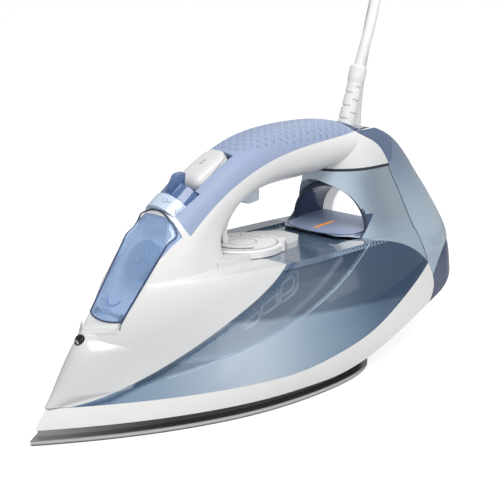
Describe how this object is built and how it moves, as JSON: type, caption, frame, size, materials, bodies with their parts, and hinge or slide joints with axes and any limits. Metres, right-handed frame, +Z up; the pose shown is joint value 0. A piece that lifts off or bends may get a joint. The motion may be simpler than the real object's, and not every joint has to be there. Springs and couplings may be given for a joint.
{
  "type": "clothes iron",
  "caption": "Steam clothes iron with a see-through water tank, a looped handle, an opening filling door, a turning dial, a sprung key and trigger, and a cord.",
  "frame": {"origin": "centre of the iron's footprint, on the sole's face, without the cord", "axes": "+Z up, -X towards the nose, the handle along X; Y = 0 is the iron's mid plane"},
  "size_m": [0.3637, 0.2319, 0.233],
  "materials": {
    "soleplate": "smooth polished sole with satin rim",
    "heating_element": "oxidised tube",
    "chamber_cover": "plain sheet",
    "screws": "zinc plated",
    "thermostat": "ceramic",
    "valve": "turned",
    "white_plastic": "glossy white",
    "tank_blue": "translucent steel blue",
    "window_blue": "translucent pale blue",
    "tower_blue": "translucent blue-grey",
    "navy_plastic": "glossy navy",
    "lavender_plastic": "soft lavender",
    "light_grey_plastic": "satin light grey",
    "clear_blue": "transparent pale blue",
    "clear_plastic": "transparent",
    "selector_blue": "translucent dark blue",
    "indicator": "amber light pipe",
    "dark_rubber": "soft dark",
    "board": "circuit board",
    "cord_white": "satin white",
    "nozzle_black": "black",
    "pins": "nickel plated brass"
  },
  "bodies": {
    "iron": {"soleplate": "soleplate", "heating_element": "heating_element", "steam_chamber_cover": "chamber_cover", "cover_screws": "screws", "thermostat": "thermostat", "dosing_valve": "valve", "thermal_fuse": "thermostat", "heat_shield": "white_plastic", "tank_windows": "window_blue", "water_tank": "tank_blue", "housing": "white_plastic", "grip_top": "lavender_plastic", "door_hinge_pin": "pins", "inlet_funnel": "clear_plastic", "spray_nozzle": "nozzle_black", "collar_ring": "clear_blue", "pump_body": "light_grey_plastic", "rear_tower": "tower_blue", "tunnel_lining": "navy_plastic", "rear_liner": "white_plastic", "light_platform": "lavender_plastic", "light_bar": "indicator", "back_cover": "tower_blue", "heel_plate": "navy_plastic", "handle_gasket": "dark_rubber", "cord_bezel": "tower_blue", "terminal_block": "light_grey_plastic", "control_board": "board", "cord_boot": "cord_white", "cord": "cord_white", "cord_coil": "cord_white", "plug_lead": "cord_white", "plug_body": "cord_white", "plug_pins": "pins"},
    "door": {"filling_door": "clear_blue", "door_plug": "clear_plastic"},
    "selector": {"steam_selector": "selector_blue"},
    "boost": {"boost_button": "light_grey_plastic"},
    "trigger": {"steam_trigger": "clear_plastic"},
    "dial": {"temperature_dial": "white_plastic", "dial_spindle": "light_grey_plastic"}
  },
  "joints": [
    {"name": "door_hinge", "type": "hinge", "parent": "iron", "child": "door", "pos_m": [-0.10331, 0, 0.06242], "axis": [0, -1, 0], "range_deg": [0, 75]},
    {"name": "selector_turn", "type": "hinge", "parent": "iron", "child": "selector", "pos_m": [-0.0532, 0, 0.1141], "axis": [0.809, 0, 0.5878], "range_deg": [-25, 25]},
    {"name": "boost_press", "type": "slide", "parent": "iron", "child": "boost", "axis": [0.5878, 0, -0.809], "range_m": [0, 0.003], "stiffness_N_per_m": 900, "springref_m": -0.003},
    {"name": "trigger_press", "type": "slide", "parent": "iron", "child": "trigger", "axis": [0, 0, 1], "range_m": [0, 0.003], "stiffness_N_per_m": 900, "springref_m": -0.002},
    {"name": "dial_turn", "type": "hinge", "parent": "iron", "child": "dial", "pos_m": [-0.001, 0, 0.084], "axis": [0, 0, 1], "range_deg": [-40, 180]}
  ]
}
